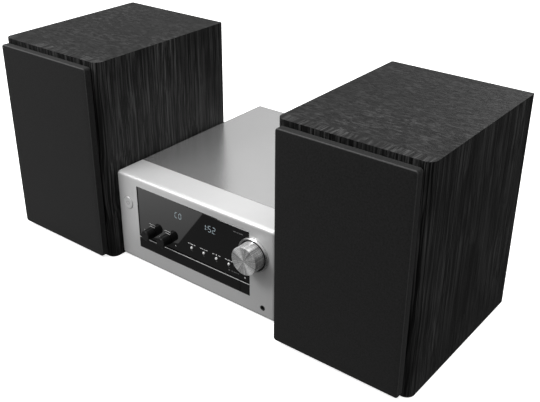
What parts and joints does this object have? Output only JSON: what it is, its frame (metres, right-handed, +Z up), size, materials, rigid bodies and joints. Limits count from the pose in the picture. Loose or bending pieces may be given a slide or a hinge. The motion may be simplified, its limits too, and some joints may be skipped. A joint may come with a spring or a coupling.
{
  "type": "mini hifi system",
  "caption": "Compact hi-fi set: a silver disc receiver with display, tray and knobs between two black wood-grain bookshelf loudspeakers with pull-off cloth grilles.",
  "frame": {"origin": "on the standing surface, at the centre of the whole set's footprint", "axes": "+X to the right as seen from the front, along the row of three boxes; +Y to the rear, so the fronts face -Y; +Z up"},
  "size_m": [0.549, 0.285, 0.238],
  "materials": {
    "cabinet_ash": "black ash vinyl over fibreboard, satin",
    "board_black": "painted fibreboard, matt",
    "basket_steel": "pressed steel, black",
    "cone_paper": "pressed paper, black",
    "rubber": "matt",
    "black_plastic": "moulded, fine grain",
    "dome_silk": "coated cloth",
    "grille_cloth": "stretched knit, black",
    "fascia_silver": "silver paint, satin",
    "cover_silver": "silver paint, satin",
    "chassis_steel": "zinc-plated sheet",
    "rear_panel_black": "black paint, fine texture",
    "window_black": "black acrylic, polished",
    "circuit_board": "green solder mask",
    "loader_plastic": "moulded, matt",
    "motor_steel": "zinc-plated can",
    "gear_plastic": "natural acetal",
    "pickup_metal": "die-cast",
    "knob_aluminium": "spun face, brushed side",
    "knob_black": "fine grain",
    "key_chrome": "bright",
    "lever_plastic": "moulded",
    "screw_steel": "black-passivated"
  },
  "bodies": {
    "receiver": {"front_fascia": "fascia_silver", "top_cover": "cover_silver", "chassis_base": "chassis_steel", "rear_panel": "rear_panel_black", "display_window": "window_black", "front_board": "circuit_board", "main_board": "circuit_board", "power_board": "circuit_board", "loader_frame": "loader_plastic", "cd_motors": "motor_steel", "rear_connectors": "black_plastic", "headphone_jack": "black_plastic", "main_feet": "rubber", "main_screws": "screw_steel", "knob_ring": "knob_aluminium"},
    "left_speaker": {"left_cabinet": "cabinet_ash", "left_baffle": "board_black", "left_back_panel": "board_black", "left_woofer_frame": "basket_steel", "left_tweeter_unit": "black_plastic", "left_port_tube": "black_plastic", "left_cable_inlet": "rubber", "left_feet": "rubber"},
    "left_grille": {"left_grille_frame": "black_plastic", "left_grille_cloth": "grille_cloth"},
    "left_woofer": {"left_woofer_cone": "cone_paper", "left_woofer_surround": "rubber"},
    "left_tweeter": {"left_tweeter_dome": "dome_silk"},
    "right_speaker": {"right_cabinet": "cabinet_ash", "right_baffle": "board_black", "right_back_panel": "board_black", "right_woofer_frame": "basket_steel", "right_tweeter_unit": "black_plastic", "right_port_tube": "black_plastic", "right_cable_inlet": "rubber", "right_feet": "rubber"},
    "right_grille": {"right_grille_frame": "black_plastic", "right_grille_cloth": "grille_cloth"},
    "right_woofer": {"right_woofer_cone": "cone_paper", "right_woofer_surround": "rubber"},
    "right_tweeter": {"right_tweeter_dome": "dome_silk"},
    "volume_knob": {"volume_knob": "knob_aluminium"},
    "bass_knob": {"bass_knob": "knob_black"},
    "treble_knob": {"treble_knob": "knob_black"},
    "skip_back_key": {"skip_back_key": "key_chrome"},
    "play_key": {"play_key": "key_chrome"},
    "stop_key": {"stop_key": "key_chrome"},
    "skip_forward_key": {"skip_forward_key": "key_chrome"},
    "power_button": {"power_button": "fascia_silver"},
    "eject_key": {"eject_key": "window_black"},
    "disc_tray": {"disc_tray": "loader_plastic", "tray_door": "window_black"},
    "tray_pinion": {"tray_pinion": "gear_plastic"},
    "optical_pickup": {"optical_pickup": "pickup_metal"},
    "spindle": {"turntable_hub": "loader_plastic", "disc_clamp": "loader_plastic"},
    "terminal_lever_1": {"terminal_lever_1": "lever_plastic"},
    "terminal_lever_2": {"terminal_lever_2": "lever_plastic"},
    "terminal_lever_3": {"terminal_lever_3": "lever_plastic"},
    "terminal_lever_4": {"terminal_lever_4": "lever_plastic"}
  },
  "joints": [
    {"name": "left_speaker_place", "type": "slide", "parent": "receiver", "child": "left_speaker", "axis": [-1, 0, 0], "range_m": [0, 0.15]},
    {"name": "left_grille_pull", "type": "slide", "parent": "left_speaker", "child": "left_grille", "axis": [0, -1, 0], "range_m": [0, 0.025]},
    {"name": "left_woofer_stroke", "type": "slide", "parent": "left_speaker", "child": "left_woofer", "axis": [0, -1, 0], "range_m": [-0.003, 0.003], "stiffness_N_per_m": 1200},
    {"name": "left_tweeter_stroke", "type": "slide", "parent": "left_speaker", "child": "left_tweeter", "axis": [0, -1, 0], "range_m": [-0.0003, 0.0003], "stiffness_N_per_m": 2000},
    {"name": "right_speaker_place", "type": "slide", "parent": "receiver", "child": "right_speaker", "axis": [1, 0, 0], "range_m": [0, 0.15]},
    {"name": "right_grille_pull", "type": "slide", "parent": "right_speaker", "child": "right_grille", "axis": [0, -1, 0], "range_m": [0, 0.025]},
    {"name": "right_woofer_stroke", "type": "slide", "parent": "right_speaker", "child": "right_woofer", "axis": [0, -1, 0], "range_m": [-0.003, 0.003], "stiffness_N_per_m": 1200},
    {"name": "right_tweeter_stroke", "type": "slide", "parent": "right_speaker", "child": "right_tweeter", "axis": [0, -1, 0], "range_m": [-0.0003, 0.0003], "stiffness_N_per_m": 2000},
    {"name": "volume_turn", "type": "hinge", "parent": "receiver", "child": "volume_knob", "pos_m": [0.0816, -0.125, 0.075], "axis": [0, 1, 0], "continuous": true},
    {"name": "bass_turn", "type": "hinge", "parent": "receiver", "child": "bass_knob", "pos_m": [-0.0659, -0.122, 0.0478], "axis": [0, 1, 0], "range_deg": [-140, 140]},
    {"name": "treble_turn", "type": "hinge", "parent": "receiver", "child": "treble_knob", "pos_m": [-0.0419, -0.122, 0.0478], "axis": [0, 1, 0], "range_deg": [-140, 140]},
    {"name": "skip_back_key_press", "type": "slide", "parent": "receiver", "child": "skip_back_key", "axis": [0, 1, 0], "range_m": [0, 0.0005], "stiffness_N_per_m": 300, "springref_m": -0.0025},
    {"name": "play_key_press", "type": "slide", "parent": "receiver", "child": "play_key", "axis": [0, 1, 0], "range_m": [0, 0.0005], "stiffness_N_per_m": 300, "springref_m": -0.0025},
    {"name": "stop_key_press", "type": "slide", "parent": "receiver", "child": "stop_key", "axis": [0, 1, 0], "range_m": [0, 0.0005], "stiffness_N_per_m": 300, "springref_m": -0.0025},
    {"name": "skip_forward_key_press", "type": "slide", "parent": "receiver", "child": "skip_forward_key", "axis": [0, 1, 0], "range_m": [0, 0.0005], "stiffness_N_per_m": 300, "springref_m": -0.0025},
    {"name": "power_button_press", "type": "slide", "parent": "receiver", "child": "power_button", "axis": [0, 1, 0], "range_m": [0, 0.0005], "stiffness_N_per_m": 300, "springref_m": -0.0025},
    {"name": "eject_key_press", "type": "slide", "parent": "receiver", "child": "eject_key", "axis": [0, 1, 0], "range_m": [0, 0.0005], "stiffness_N_per_m": 300, "springref_m": -0.0025},
    {"name": "tray_slide", "type": "slide", "parent": "receiver", "child": "disc_tray", "axis": [0, -1, 0], "range_m": [0, 0.135]},
    {"name": "pinion_turn", "type": "hinge", "parent": "receiver", "child": "tray_pinion", "pos_m": [-0.06915, -0.098, 0.02], "axis": [0, 0, 1], "range_deg": [0, 967]},
    {"name": "pickup_slide", "type": "slide", "parent": "receiver", "child": "optical_pickup", "axis": [0, 1, 0], "range_m": [0, 0.034]},
    {"name": "spindle_turn", "type": "hinge", "parent": "receiver", "child": "spindle", "pos_m": [-0.0115, -0.049, 0.028], "axis": [0, 0, 1], "continuous": true},
    {"name": "terminal_lever_1_press", "type": "hinge", "parent": "receiver", "child": "terminal_lever_1", "pos_m": [0.0375, 0.132, 0.0411], "axis": [-1, 0, 0], "range_deg": [0, 20], "stiffness_Nm_per_rad": 0.03, "springref_deg": -8.59},
    {"name": "terminal_lever_2_press", "type": "hinge", "parent": "receiver", "child": "terminal_lever_2", "pos_m": [0.0495, 0.132, 0.0411], "axis": [-1, 0, 0], "range_deg": [0, 20], "stiffness_Nm_per_rad": 0.03, "springref_deg": -8.59},
    {"name": "terminal_lever_3_press", "type": "hinge", "parent": "receiver", "child": "terminal_lever_3", "pos_m": [0.0615, 0.132, 0.0411], "axis": [-1, 0, 0], "range_deg": [0, 20], "stiffness_Nm_per_rad": 0.03, "springref_deg": -8.59},
    {"name": "terminal_lever_4_press", "type": "hinge", "parent": "receiver", "child": "terminal_lever_4", "pos_m": [0.0735, 0.132, 0.0411], "axis": [-1, 0, 0], "range_deg": [0, 20], "stiffness_Nm_per_rad": 0.03, "springref_deg": -8.59}
  ],
  "couplings": [
    {"joint": "pinion_turn", "follows": "tray_slide", "rad_per_m": 125}
  ]
}
